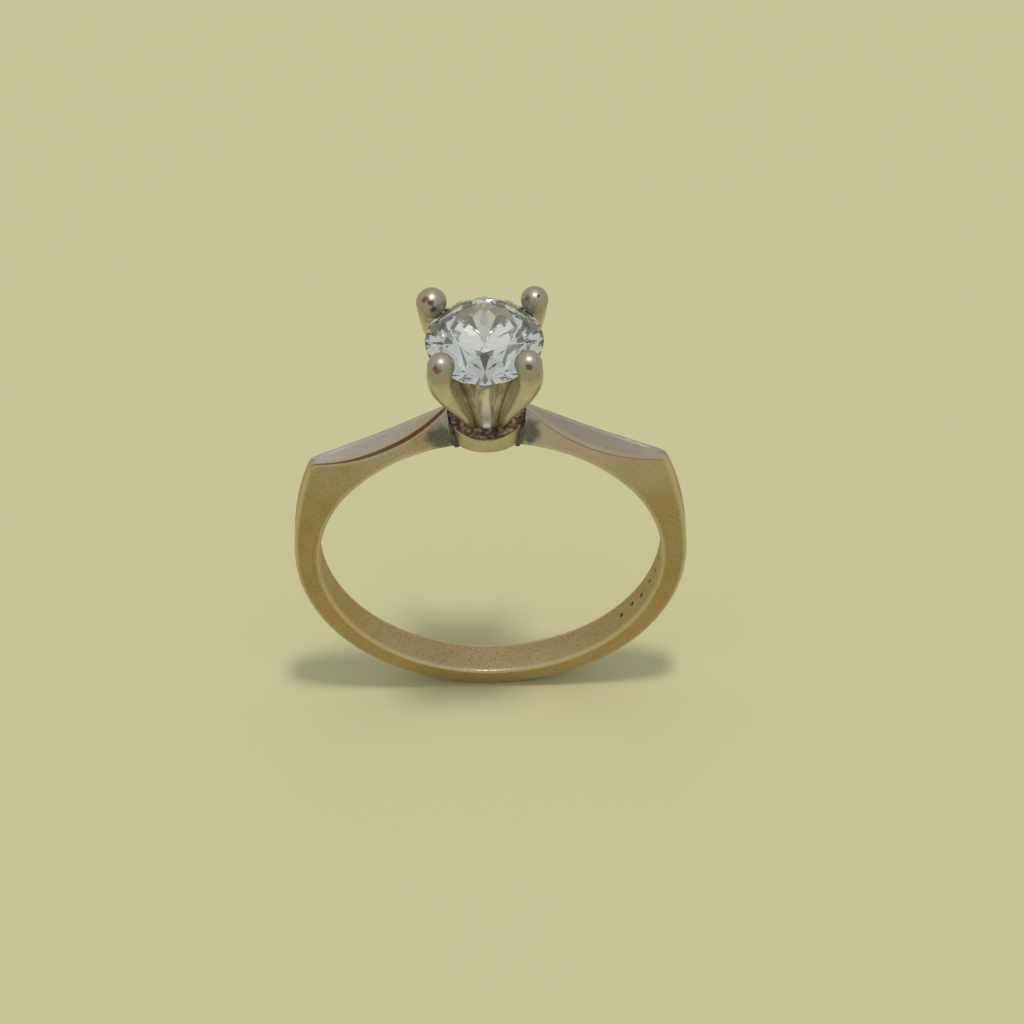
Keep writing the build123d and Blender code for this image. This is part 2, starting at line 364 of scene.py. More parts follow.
# %% Polished head gold
def head_finish(name, tones, patches, roughness, dull_from=None, stains_and_reflections=()):
    """A finish for the head; its tones are a pale and a warm metal and the brown of the patches."""
    material, finish = new_finish(name)
    pale, warm, brown = tones
    place, side, _, height = finish.here()
    cloud = finish.grain(place, 0.9, 3.0)
    scratches = finish.grain(place, 5.0, 3.0, 0.6, stretch=(1, 1, 0.25))
    spots = finish.step(finish.grain(place, 2.3, 3.0), 0.62, 0.72)
    ragged = finish.grain(place, 4.0, 3.0, 0.6) - 0.5
    colour = finish.blend(finish.step(cloud, 0.38, 0.62), pale, warm)
    rough = roughness + scratches * 0.12 + spots * 0.1
    if dull_from:
        dull = finish.step(height + cloud * 0.4, dull_from, dull_from + 0.6)
        colour = finish.blend(dull * 0.9, colour, bead_grey)
        rough = rough + dull * 0.12
    flank = finish.painted("flank")
    scratched = (finish.step(scratches, 0.42, 0.58), flank_dark)
    lit = (finish.step(side, 0.3, 0.9) * 0.5, flank_lit)
    flank_tone = finish.layered(flank_light, scratched, lit)
    colour = finish.layered(colour, (flank * 0.9, flank_tone), (spots * patches, brown))
    rough = rough + flank * 0.12
    # painted spots on the beads: dark brown stains, and red-brown painted reflections
    for centre, radius, tone in stains_and_reflections:
        from_mark_centre = finish.measured("DISTANCE", place, centre) * (1 / radius)
        mark_share = finish.step(from_mark_centre + ragged * 2.6, 1.1, 0.3)
        colour = finish.blend(mark_share * 0.85, colour, tone)
    relief = finish.bump(scratches * 0.6 + cloud, 0.012)
    metal_surface(finish, colour, rough, relief, coat=(0.4, 0.06))
    return material


bead_grey = (0.42, 0.385, 0.32, 1)
flank_light = (0.52, 0.47, 0.38, 1)
flank_dark = (0.34, 0.29, 0.21, 1)
flank_lit = (0.60, 0.56, 0.50, 1)
# the red-brown of the painted reflections on the beads
reflected_red_brown = (0.24, 0.055, 0.02, 1)
dark_brown = (0.12, 0.065, 0.04, 1)
# dark brown stains and red-brown painted reflections on the beads: centre, radius and colour
bead_stains_and_reflections = (
    ((-2.3, -2.6, 15.1), 0.24, reflected_red_brown),
    ((-2.8, 2.0, 15.2), 0.20, reflected_red_brown),
    ((-2.5, 1.8, 15.1), 0.17, dark_brown),
    ((-2.4, 1.65, 14.85), 0.20, dark_brown),
    ((2.1, 1.9, 15.15), 0.21, reflected_red_brown),
    ((2.6, 1.95, 15.3), 0.10, dark_brown),
    ((2.1, -2.6, 15.1), 0.17, dark_brown),
)
claw_tones = ((0.68, 0.61, 0.50, 1), (0.61, 0.53, 0.39, 1), (0.34, 0.21, 0.14, 1))
collar_tones = ((0.60, 0.50, 0.35, 1), (0.53, 0.43, 0.28, 1), (0.26, 0.17, 0.10, 1))
claw_gold = head_finish(
    "polished_claw_gold", claw_tones, patches=0.3, roughness=0.24, dull_from=14.1, stains_and_reflections=bead_stains_and_reflections
)
collar_gold = head_finish("worn_collar_gold", collar_tones, patches=0.5, roughness=0.3)
print("the claws have", len(bead_stains_and_reflections), "stains_and_reflections")

# %% [markdown]
# The cup is duller. It is streaked from top to bottom. Shade is painted dark under the stone,
# less on the right side, and beside each flute, where dirt also makes it rougher, and a highlight
# is painted pale down the middle of a flute. The flutes lie on the X and Y axes, so the smaller of
# a point's distances from the axes says how far off a flute it is.

# %% Dulled cup gold

cup_gold, finish = new_finish("dulled_cup_gold")
place, side, depth, height = finish.here()
streaks = finish.grain(place, 3.6, 3.0, 0.6, stretch=(1, 1, 0.15))
off_flute = finish.sum("MINIMUM", finish.size_of(side), finish.size_of(depth))
wavy = off_flute + (streaks - 0.5) * 0.16
# painted highlight: pale down the middle of each flute
painted_flute_highlight = finish.step(wavy, 0.24, 0.14) * finish.step(height, 12.2, 11.0)
# painted shade with dirt: darker and rougher beside each flute, less on the right
flute_dirt_and_shade = finish.step(wavy, 0.16, 0.28) * finish.step(wavy, 0.62, 0.40) * finish.step(height, 12.6, 10.6)
# painted shade: dark under the stone
painted_shade_under_stone = finish.step(height + (streaks - 0.5) * 1.5, 11.6, 13.2)
colour = finish.layered(
    (0.84, 0.79, 0.71, 1),
    (finish.step(streaks, 0.42, 0.58), (0.58, 0.52, 0.43, 1)),
    # painted shade under the stone, less on the right side
    (painted_shade_under_stone * (1 - finish.step(side, 0.3, 0.9) * 0.6) * 0.5, (0.20, 0.165, 0.115, 1)),
    # painted shade with dirt beside each flute
    (flute_dirt_and_shade * (0.35 - finish.step(side, 0.2, 0.7) * 0.2), (0.13, 0.095, 0.06, 1)),
    # painted highlight down each flute
    (painted_flute_highlight * 0.9, (0.92, 0.93, 0.97, 1)),
)
rough = 0.40 + streaks * 0.12 + flute_dirt_and_shade * 0.1
metal_surface(finish, colour, rough, finish.bump(streaks, 0.015))
print("the cup's finish has", len(finish.tree.nodes), "nodes")

# %% [markdown]
# ## Solder and stone
#
# Old solder goes a dark red-brown, lumpy and half shiny, and has a green tarnish beside the
# collar. The stone is clear, with a high index of refraction: light that enters a brilliant
# turns back inside it, which makes its light and dark pattern. So the facets do the work, and
# the finish only adds a thin film of dirt and a slight haze.

# %% Solder and stone finishes
def solder_finish(name, dark, light, bloom):
    """A lumpy solder; bloom is how strong its green tarnish is."""
    material, finish = new_finish(name)
    place = finish.place()
    lumps = finish.grain(place, 2.4, 4.0, 0.6)
    bloom_shape = finish.step(finish.grain(place, 2.1, 2.0), 0.46, 0.58)
    lump_tops = (finish.step(lumps, 0.42, 0.62), light)
    colour = finish.layered(dark, lump_tops, (bloom_shape * bloom, (0.045, 0.12, 0.085, 1)))
    rough = 0.48 - finish.step(lumps, 0.45, 0.62) * 0.27
    relief = finish.bump(lumps, 0.05)
    metal_surface(finish, colour, rough, relief, metallic=0.8, coat=(0.5, 0.12))
    return material


ring_solder = solder_finish("dark_ring_solder", (0.16, 0.062, 0.038, 1), (0.50, 0.36, 0.25, 1), 0.1)
seam_solder = solder_finish("tarnished_seam_solder", (0.055, 0.04, 0.03, 1), (0.15, 0.11, 0.07, 1), 0.5)

clear_stone, finish = new_finish("clear_stone")
film = finish.step(finish.grain(finish.place(), 1.5, 2.0), 0.40, 0.65)
tint = finish.blend(film, (0.935, 0.96, 0.935, 1), (0.905, 0.935, 0.895, 1))
surface(finish, {"Base Color": tint, "Roughness": 0.03, "IOR": 2.3, "Transmission Weight": 1.0})
print("finishes:", [material.name for material in bpy.data.materials])

# %% [markdown]
# ## Drawing a section and turning it
#
# Most parts of a ring start as a section, the outline of a cut through the piece. `drawn` joins
# the section's corners in the XZ plane and rounds chosen ones. `evened` divides the long edges, so
# that later bending has points to move. `turned` spins a section round the Z axis, as on a lathe.

# %% Section helpers
def drawn(corners, closed=True, rounded=()):
    """A section from its (reach, height) corners; rounded holds (radius, corner numbers) pairs."""
    bm = bmesh.new()
    points = [bm.verts.new((reach, 0, height)) for reach, height in corners]
    ends = points[1:] + points[:1] if closed else points[1:]
    for start, end in zip(points, ends):
        bm.edges.new((start, end))
    for radius, numbers in rounded:
        chosen = [points[number] for number in numbers]
        bmesh.ops.bevel(
            bm, geom=chosen, affect="VERTICES", offset=radius, segments=4, profile=0.5, material=-1
        )
    return bm


def evened(bm, longest):
    for edge in bm.edges[:]:
        cuts = int(edge.calc_length() / longest)
        if cuts:
            bmesh.ops.subdivide_edges(bm, edges=[edge], cuts=cuts)


def turned(bm, longest, steps):
    evened(bm, longest)
    section = bm.verts[:] + bm.edges[:]
    bmesh.ops.spin(
        bm, geom=section, cent=(0, 0, 0), axis=(0, 0, 1), angle=2 * pi, steps=steps, use_merge=True
    )
    bmesh.ops.remove_doubles(bm, verts=bm.verts, dist=1e-4)


# %% [markdown]
# ## The band's outline
#
# From the front the band is a circle inside. Outside it follows the bore round the bottom,
# swells along each flank to a corner, and then sweeps up to the head in a hollow curve. Flank and
# hollow are arcs, so a ray from the bore's centre meets them at a reach that is worked out
# exactly. Near the corner the two reaches are blended, which rounds the corner off.

# %% How far out the band's edge is
leg_thickness = 1.24
outer_radius = bore_radius + leg_thickness
flank_centre = -10.215
flank_radius = outer_radius - flank_centre
hollow_centre = Vector((11.742, 19.977))
hollow_radius = 14.0
corner_blend = 0.30
corner_angle = 36.5


def band_reach(angle):
    """From the bore's centre to the band's outer edge, at an angle up from the side."""
    if angle < 0:
        return outer_radius
    ray = Vector((cos(radians(angle)), sin(radians(angle))))
    flank = flank_centre * ray.x + sqrt(flank_radius**2 - (flank_centre * ray.y) ** 2)
    towards = hollow_centre.dot(ray)
    room = hollow_radius**2 - hollow_centre.length_squared + towards**2
    if room < 0:
        return flank
    hollow = towards - sqrt(room)
    overlap = max(corner_blend - abs(flank - hollow), 0.0)
    return min(flank, hollow) - overlap**2 / (4 * corner_blend)


print("reach at the side, the corner and the tip:", [round(band_reach(a), 2) for a in (0, 36, 79)])

# %% [markdown]
# ## How wide the band is
#
# The front and the back of the band lean together outwards, and the band grows wider towards the
# head. Both are known at stations 15 degrees apart, and a Catmull-Rom curve, which passes smoothly
# through its stations, fills in between.

# %% Width and lean at any angle
leg_width = 1.90
shoulder_width = 2.40
first_station = -30
station_step = 15
growth_stations = (0.0, 0.0, 0.1, 0.3, 0.6, 0.95, 1.0, 1.0, 1.0)
lean_stations = (0.24, 0.25, 0.27, 0.30, 0.35, 0.47, 0.78, 0.66, 0.50)


def along_stations(values, angle):
    """The value at an angle, from a smooth curve through the stations."""
    at = min(max((angle - first_station) / station_step, 0.0), len(values) - 1.001)
    number = int(at)
    share = at - number
    a, b, c, d = (values[min(max(number + step, 0), len(values) - 1)] for step in (-1, 0, 1, 2))
    bend = 2 * a - 5 * b + 4 * c - d + share * (3 * b - a - 3 * c + d)
    return b + share / 2 * (c - a + share * bend)


def half_width_at(angle, out):
    growth = along_stations(growth_stations, angle)
    on_bore = (leg_width + growth * (shoulder_width - leg_width)) / 2
    return on_bore - along_stations(lean_stations, angle) * out


print("width at the bore beside the head:", round(2 * half_width_at(75, 0), 2))

# %% [markdown]
# ## The band, spun and then drawn to shape
#
# A section swept along a curve couldn't change on the way. Here the leg's section is spun round
# the bore from the bottom up, with closer steps at the corner, and each point is then drawn to
# its own place, as a smith stretches wire over a mandrel. A point near an edge keeps its distance
# from that edge, so the rounding stays the same. The head end lands on the collar's round seat.

# %% Spin the band
edge_round = 0.15
half_leg = leg_width / 2
leg_section = [
    (bore_radius, -half_leg),
    (outer_radius, -half_leg),
    (outer_radius, half_leg),
    (bore_radius, half_leg),
]
band = drawn(leg_section, rounded=[(edge_round, (0, 1, 2, 3))])
bmesh.ops.rotate(band, verts=band.verts, matrix=Matrix.Rotation(pi / 2, 3, "X"))
evened(band, longest=0.075)
bmesh.ops.rotate(band, verts=band.verts, matrix=Matrix.Rotation(pi / 2, 3, "Y"))
corner_run_start = 29
tip_run_start = 44
tip_run = 36
runs = (
    (-90, corner_run_start, 85),
    (corner_run_start, tip_run_start, 45),
    (tip_run_start, tip_run_start + tip_run, 60),
)
ring_end = band.verts[:] + band.edges[:]
for start, end, steps in runs:
    spun = bmesh.ops.spin(
        band, geom=ring_end, cent=(0, 0, 0), axis=(0, -1, 0), angle=radians(end - start), steps=steps
    )
    ring_end = spun["geom_last"]
bmesh.ops.contextual_create(band, geom=only(bmesh.types.BMEdge, ring_end))
print("half a band:", len(band.verts), "points")

# %% [markdown]
# ## Values kept on the mesh
#
# While each point still knows where it is on the plain section, four values are written on it
# for the finish: how near it is to any edge, how near it is to an outer edge, which is the groove
# where a red-brown reflection is painted, whether it is just under that edge, where a shadow is
# painted, and whether it is on a hollow top.

# %% Draw each point of the band to its place
edge_keep = 0.20
edge_fade = (0.10, 0.24)
groove_fade = (0.05, 0.17)
scoop_depth = 0.07
scoop_rim = (0.06, 0.26)
scoop_start = (0.15, 0.85)
on_face = 0.001
edge_value = band.verts.layers.float.new("edge")
groove_value = band.verts.layers.float.new("groove")
under_value = band.verts.layers.float.new("under_edge")
top_value = band.verts.layers.float.new("top")


def stretched(value, plain, wanted):
    """Stretches only the middle of a length, so that both of its ends keep their shape."""
    kept = min(edge_keep, wanted * 0.45)
    if value <= edge_keep:
        return value * kept / edge_keep
    if value >= plain - edge_keep:
        return wanted - (plain - value) * kept / edge_keep
    return kept + (value - edge_keep) * (wanted - 2 * kept) / (plain - 2 * edge_keep)


def scoop_at(angle, from_side):
    """How deep the hollow top is dished here, inside its fine rim."""
    from_corner = (angle - corner_angle) * radians(outer_radius)
    return scoop_depth * smooth_step(from_side, *scoop_rim) * smooth_step(from_corner, *scoop_start)


for point in band.verts:
    angle = degrees(atan2(point.co.z, point.co.x))
    out = hypot(point.co.x, point.co.z) - bore_radius
    across = point.co.y
    from_outside = leg_thickness - out
    from_side = leg_width / 2 - abs(across)
    outer_edge = hypot(from_outside, from_side)
    inner_edge = hypot(out, from_side)
    point[edge_value] = 1 - smooth_step(min(outer_edge, inner_edge), *edge_fade)
    point[groove_value] = 1 - smooth_step(outer_edge, *groove_fade)
    past_corner = smooth_step(angle, corner_angle - 0.5, corner_angle + 1)
    point[top_value] = past_corner if from_outside < 0.04 else 0.0
    point[under_value] = float(abs(from_outside - edge_round) < 0.02 and from_side < 0.01)

    thickness = band_reach(angle) - bore_radius
    out = stretched(out, leg_thickness, thickness)
    half = half_width_at(angle, out)
    shift = stretched(abs(across) + leg_width / 2, leg_width, 2 * half) - half
    if from_outside < on_face and angle > corner_angle:
        out -= scoop_at(angle, half - shift)
    y = shift if across > 0 else -shift
    inner_angle = outer_angle = angle
    if angle > tip_run_start:
        seat = sqrt(seam_outside**2 - y**2)
        rise = hollow_centre.y - sqrt(hollow_radius**2 - (seat - hollow_centre.x) ** 2)
        run = (angle - tip_run_start) / tip_run
        inner_angle = tip_run_start + run * (degrees(acos(seat / bore_radius)) - tip_run_start)
        outer_angle = tip_run_start + run * (degrees(atan2(rise, seat)) - tip_run_start)
    inner = from_bore(inner_angle) * bore_radius
    outer = from_bore(outer_angle) * band_reach(outer_angle)
    point.co = inner.lerp(outer, out / thickness)
    point.co.y = y
bmesh.ops.mirror(band, geom=band.verts[:] + band.edges[:] + band.faces[:], merge_dist=1e-4, axis="X")
print("whole band:", len(band.verts), "points")

# %% [markdown]
# ## Punch marks inside the band
#
# A ring carries its maker's and standard marks inside a leg. Real marks name someone, so plain
# round punches stand for them here. The few faces round each spot are divided finely, the points
# near the spot are pushed into the metal, and a fifth value, dirt, is written on them.

# %% Punch the marks
punch_angles = (-9, -15, -21, -28, -34, -40)
punch_radius = 0.15
punch_depth = 0.06
punch_flat = 0.06
punch_aside = 0.12
punch_stagger = 0.10
dirt_flat = 0.09
dirt_value = band.verts.layers.float.new("dirt")
for number, angle in enumerate(punch_angles):
    heading = from_bore(angle)
    spot = heading * bore_radius + Vector((0, punch_aside - punch_stagger * (number % 2), 0))
    struck = [face for face in band.faces if (face.calc_center_median() - spot).length < 2 * punch_radius]
    around = list({edge for face in struck for edge in face.edges})
    bmesh.ops.subdivide_edges(band, edges=around, cuts=4, use_grid_fill=True)
    for point in band.verts:
        distance = (point.co - spot).length
        if distance < punch_radius:
            point.co += heading * punch_depth * (1 - smooth_step(distance, punch_flat, punch_radius))
            point[dirt_value] = 1 - smooth_step(distance, dirt_flat, punch_radius)
settle(band, "band", "shank", band_gold)

# %% [markdown]
# ## The collar
#
# The collar is a short tube with a recess in its top, which holds the solder, and a hole for the
# head's peg. Its underside is part of the bore, so after turning the lower points are moved onto
# the bore's round wall, and a smooth noise leaves faint dents.

# %% Turn the collar
peg_room = 0.83
plain_bottom = 8.25
straight_above = collar_top - 0.1
collar_section = [
    (peg_room, plain_bottom),
    (peg_room, recess_floor),
    (recess_radius, recess_floor),
    (recess_radius, collar_top),
    (collar_radius, collar_top),
    (collar_radius, plain_bottom),
]
collar = drawn(collar_section, rounded=[(0.045, (3, 4)), (0.09, (5,))])
turned(collar, longest=0.12, steps=120)
for point in collar.verts:
    low_share = share_between(point.co.z, straight_above, plain_bottom)
    point.co.z += low_share * (bore_height(point.co.x) - plain_bottom)
    spread(point, 1 + noise.noise(point.co * 0.9) * 0.018 / collar_radius)
settle(collar, "turned_collar", "collar", collar_gold)

# %% [markdown]
# ## The peg
#
# A peg under the cup goes down through the collar and ends flush with the bore. The section
# stops on the axis, so the spin closes both ends, and the lower end follows the bore's wall.

# %% Turn the peg
peg_top = recess_floor + 0.55
peg_short = 0.01
peg_section = [(0, peg_top), (peg_radius, peg_top), (peg_radius, plain_bottom), (0, plain_bottom)]
peg = drawn(peg_section, closed=False, rounded=[(0.04, (1, 2))])
turned(peg, longest=0.12, steps=64)
for point in peg.verts:
    low_share = share_between(point.co.z, recess_floor, plain_bottom)
    point.co.z += low_share * (bore_height(point.co.x) + peg_short - plain_bottom)
settle(peg, "peg", "head_peg", collar_gold)

# %% [markdown]
# ## The ring of solder
#
# Solder was run into the collar's recess to hold the head, and stands up round the neck in uneven
# lumps. The points that aren't on the metal below are moved after turning: outwards and up over
# the rim beside the shoulders, and up and down by a smooth noise.

# %% Turn the solder and make it lumpy
solder_top = recess_floor + 0.30
over_rim = 0.17
over_rim_rise = 0.10
solder_foot = [(neck_radius, recess_floor), (recess_radius, recess_floor)]
solder = drawn(solder_foot + [(recess_radius, collar_top), (neck_radius, solder_top)])
turned(solder, longest=0.05, steps=160)
for point in solder.verts:
    over_floor = smooth_step(point.co.z, recess_floor, recess_floor + 0.1)
    reach = hypot(point.co.x, point.co.y)
    to_shoulder = smooth_step(abs(point.co.x) / reach, 0.62, 0.85)
    at_rim = smooth_step(reach, recess_radius - 0.15, recess_radius)
    run_over = to_shoulder * at_rim * over_floor
    spread(point, 1 + over_rim / recess_radius * run_over)
    point.co.z += over_rim_rise * run_over
    lump = noise.noise(point.co * 2.6) * 0.09 + noise.noise(point.co * 6.0) * 0.04 + 0.02
    point.co.z += lump * over_floor
settle(solder, "solder_fill", "solder_ring", ring_solder)


# %% [markdown]
# ## The solder beside the collar
#
# Each shoulder's end is soldered to the collar by a thin curved plate, which shows as a line,
# with a small lump at its front and back where it ran out. It starts as a cube with divided
# edges, and each point is carried from the cube to its place in the seam.

# %% Fill the two seams
seam_angle = 78
seam_height = 0.9
seam_proud = 0.04
run_out_share = 0.22


def seam(side_sign, name, node):
    bm = bmesh.new()
    bmesh.ops.create_cube(bm, size=2)
    bmesh.ops.subdivide_edges(bm, edges=bm.edges[:], cuts=15, use_grid_fill=True)
    for point in bm.verts:
        across, rise, through = point.co
        from_end = 1 - abs(across)
        run_out = 1 - smooth_step(from_end, 0.0, run_out_share)
        radius = collar_radius + (through + 1) / 2 * (seam_outside - collar_radius + 0.05 * run_out)
        level = (rise + 1) / 2
        half = half_width_at(seam_angle, level * seam_height) + 0.03 * run_out * (1 - through**2)
        y = across * half
        x = sqrt(max(radius**2 - y**2, 0.0))
        low = bore_height(x)
        point.co = Vector((side_sign * x, y, low + level * (collar_top + seam_proud - low)))
        point.co += noise.noise_vector(point.co * 3.0) * 0.03 * run_out
    settle(bm, name, node, seam_solder)


seam(-1, "seam_left", "solder_seam_left")
seam(1, "seam_right", "solder_seam_right")

# %% [markdown]
# ## The cup
#
# The cup is a small tulip: a straight neck, a wall that flares, and a sloping seat inside the
# rim. It is turned too, and then its top is sheared so that the seat is parallel to the stone,
# which sits a little higher at the back.

# %% Turn the cup
cup_rim_reach = 2.52
cup_rim_height = girdle_height + 0.16
cup_hollow_floor = 11.0
hollow_floor_radius = 0.78
shear_full = 13.2
wall_belly = 0.10
wall_run = (cup_rim_reach - neck_radius) / (cup_rim_height - neck_top)
wall_middle = (cup_rim_height + neck_top) / 2


def wall_reach(height):
    """The outside of the cup's wall at a height."""
    if height <= neck_top:
        return neck_radius
    from_middle = (height - wall_middle) / (cup_rim_height - wall_middle)
    return neck_radius + wall_run * (height - neck_top) - wall_belly * (1 - from_middle**2)


seat_outside = 13.79
seat_inside = (1.705, 13.28)
wall_line = [neck_top + step / 12 * (seat_outside - neck_top) for step in range(13)]
peg_socket = [(0, peg_top), (peg_room, peg_top), (peg_room, recess_floor), (neck_radius, recess_floor)]
wall_side = [(wall_reach(height), height) for height in wall_line]
hollow_side = [seat_inside, (hollow_floor_radius, cup_hollow_floor), (0, cup_hollow_floor)]
cup = drawn(peg_socket + wall_side + hollow_side, closed=False)
turned(cup, longest=0.25, steps=128)
for point in cup.verts:
    point.co.z += tan(stone_tilt) * point.co.y * smooth_step(point.co.z, cup_hollow_floor, shear_full)
print("cup:", len(cup.faces), "faces")

# %% [markdown]
# ## Four flutes in the cup
#
# Between the claws the wall is cut by a flute, a groove that widens upwards until it breaks
# through in a small arch under the stone. A tapering cutter makes the groove and a ball rounds
# its foot. The Boolean modifier cuts temporary objects, and only the result is kept.

# %% Cut the flutes
def object_from(bm, name):
    mesh = bpy.data.meshes.new(name)
    bmesh.ops.recalc_face_normals(bm, faces=bm.faces)
    bm.to_mesh(mesh)
    bm.free()
    return placed(name, mesh)


def cut_away(bm, cutters):
    """Cuts every cutter out of a bmesh, and gives back what is left."""
    work = object_from(bm, "work")
    tools = [object_from(cutter, "cutter") for cutter in cutters]
    for tool in tools:
        stroke = work.modifiers.new("stroke", "BOOLEAN")
        stroke.operation = "DIFFERENCE"
        stroke.solver = "EXACT"
        stroke.object = tool
    left = bmesh.new()
    left.from_object(work, bpy.context.evaluated_depsgraph_get())
    for used in [work, *tools]:
        bpy.data.objects.remove(used)
    return left


flute_foot = 0.26
flute_rim = 0.88
flute_depth = 0.17
flute_start = neck_top + 0.15
flute_start_reach = neck_radius + flute_foot - flute_depth
flute_axis = Vector((cup_rim_reach - neck_radius, 0, cup_rim_height - neck_top))


def flute_cutter(azimuth):
    """A tapering cutter that leans out along the cup's wall."""
    bm = bmesh.new()
    foot = Vector((flute_start_reach, 0, flute_start))
    lean = flute_axis.to_track_quat("Z", "Y").to_matrix().to_4x4()
    bmesh.ops.create_cone(
        bm,
        cap_ends=True,
        segments=48,
        radius1=flute_foot,
        radius2=flute_rim,
        depth=flute_axis.length,
        matrix=Matrix.Translation(foot + flute_axis / 2) @ lean,
    )
    bmesh.ops.rotate(bm, verts=bm.verts, matrix=Matrix.Rotation(radians(azimuth), 3, "Z"))
    return bm


def foot_cutter(azimuth):
    """The ball that rounds off the foot of a flute."""
    bm = bmesh.new()
    way = radians(azimuth)
    spot = Vector((flute_start_reach * cos(way), flute_start_reach * sin(way), flute_start))
    bmesh.ops.create_uvsphere(
        bm, u_segments=32, v_segments=16, radius=flute_foot * 0.98, matrix=Matrix.Translation(spot)
    )
    return bm


four_ways = (0, 90, 180, 270)
cutters = [flute_cutter(azimuth) for azimuth in four_ways]
cutters += [foot_cutter(azimuth) for azimuth in four_ways]
cup = cut_away(cup, cutters)
bmesh.ops.dissolve_degenerate(cup, edges=cup.edges, dist=1e-4)
cup_piece = settle(cup, "cup", "head_cup", cup_gold, crease=30)
soft_edge = cup_piece.modifiers.new("soft_edge", "BEVEL")
soft_edge.width = 0.03 * mm
soft_edge.segments = 2
soft_edge.limit_method = "ANGLE"
soft_edge.angle_limit = radians(35)

# %% [markdown]
# ## The stone's room
#
# A claw has a notch that the stone's edge sits in. `clear_of_stone` makes it: a point inside the
# round shape that the stone just fills is moved out through the nearest side of that shape.

# %% Keep metal out of the stone
table_radius = 1.62
crown_height = 0.90
pavilion_depth = 2.45
star_share = 0.50
lower_share = 0.77
half_step = radians(22.5)
quarter_step = radians(11.25)
table_flat = table_radius * cos(half_step)
star_reach = table_flat + star_share * (stone_radius - table_flat)
crown_rise = crown_height / (stone_radius - table_radius)
star_height = crown_rise * (stone_radius - star_reach * cos(half_step))
lower_reach = (1 - lower_share) * stone_radius
pavilion_rise = pavilion_depth / stone_radius
lower_depth = pavilion_rise * (stone_radius - lower_reach * cos(half_step))
stone_outline = [
    Vector(corner)
    for corner in (
        (0, girdle_half + crown_height),
        (table_radius, girdle_half + crown_height),
        (star_reach, girdle_half + star_height),
        (stone_radius, girdle_half),
        (stone_radius, -girdle_half),
        (lower_reach, -girdle_half - lower_depth),
        (0, -girdle_half - pavilion_depth),
    )
]
stone_centre = Vector((0, 0, girdle_height))
stone_turn = Matrix.Rotation(stone_tilt, 3, "X")
stone_gap = 0.008


def clear_of_stone(point):
    here = stone_turn.inverted() @ (point - stone_centre)
    flat = Vector((hypot(here.x, here.y), here.z))
    ways_out = []
    for start, end in zip(stone_outline, stone_outline[1:]):
        along = (end - start).normalized()
        outwards = Vector((-along.y, along.x)) * -1
        ways_out.append(((flat - start).dot(outwards) - stone_gap, outwards))
    nearest, outwards = max(ways_out, key=lambda way: way[0])
    if nearest >= 0:
        return point
    flat -= outwards * nearest
    around = atan2(here.y, here.x)
    return stone_centre + stone_turn @ Vector((flat.x * cos(around), flat.x * sin(around), flat.y))


# %% [markdown]
# ## The claws
#
# A claw is a petal: a pointed foot on the neck of the cup, a body that swells as it rises, and a
# round bead that is bent in over the stone. It is a stack of rings, whose places and sizes come
# from a smooth curve through stations. A ring's inner side is drawn in until it meets the cup's
# wall. `bridge_loops` skins the stack, and then points inside the wall come out onto it and
# points inside the stone move out, which leaves the notch.

# %% Where the claw's rings go
bead_radius = 0.66
claw_foot = (1.13, recess_floor + 0.16)
claw_foot_turn = 9
claw_heights = (0.0, 0.16, 0.36, 0.56, 0.74, 0.90, 1.0)
claw_reaches = (0.0, 0.22, 0.52, 0.79, 0.96, 1.02, 1.0)
claw_bows = (0.0, 0.0, 0.1, 0.5, 1.0, 0.8, 0.0)
claw_half_widths = (0.14, 0.36, 0.48, 0.58, 0.62, 0.63, 0.63)
claw_half_depths = (0.10, 0.22, 0.32, 0.42, 0.50, 0.58, 0.63)
ring_points = 40
squareness = 2.6
body_rings = 44
bead_rings = 12
squared_in = (2, 10)
squared_out = (body_rings - 6, body_rings - 16)
web_overlap = 0.06
web_out = (0.84 * body_rings, 0.62 * body_rings)
web_taper = 0.25
flank_fade = (0.05, 0.45)
wall_gap = 0.004


def through(values, share):
    """A value along a claw, from a smooth curve through its stations."""
    return along_stations(values, first_station + station_step * share * (len(values) - 1))


def claw_rings(azimuth, beyond_edge, bead_rise, bow, stoutness):
    """Each ring's centre and its half width and half depth, from the foot up over the bead."""
    reach = stone_radius + beyond_edge
    bead_height = girdle_height + bead_rise
    middle = 270 if azimuth > 180 else 90
    turn = claw_foot_turn if azimuth < middle else -claw_foot_turn
    rings = []
    for number in range(body_rings):
        share = number / (body_rings - 1)
        up = through(claw_heights, share)
        out = claw_foot[0] + through(claw_reaches, share) * (reach - claw_foot[0])
        out += through(claw_bows, share) * bow
        way = radians(azimuth + turn * (1 - up))
        height = claw_foot[1] + up * (bead_height - claw_foot[1])
        centre = Vector((out * cos(way), out * sin(way), height))
        half_width = through(claw_half_widths, share) * stoutness
        half_depth = through(claw_half_depths, share) * stoutness
        rings.append([centre, half_width, half_depth])
    bead = rings[-1][0]
    ball = bead_radius * stoutness
    for ring in rings:
        chord = sqrt(max(ball**2 - (ring[0] - bead).length_squared, 0.0))
        ring[1] = max(ring[1], chord)
        ring[2] = max(ring[2], chord)
    heading = (bead - rings[-4][0]).normalized()
    for number in range(1, bead_rings):
        lift = radians(90 * number / bead_rings)
        rings.append([bead + heading * ball * sin(lift), ball * cos(lift), ball * cos(lift)])
    return rings, bead + heading * ball


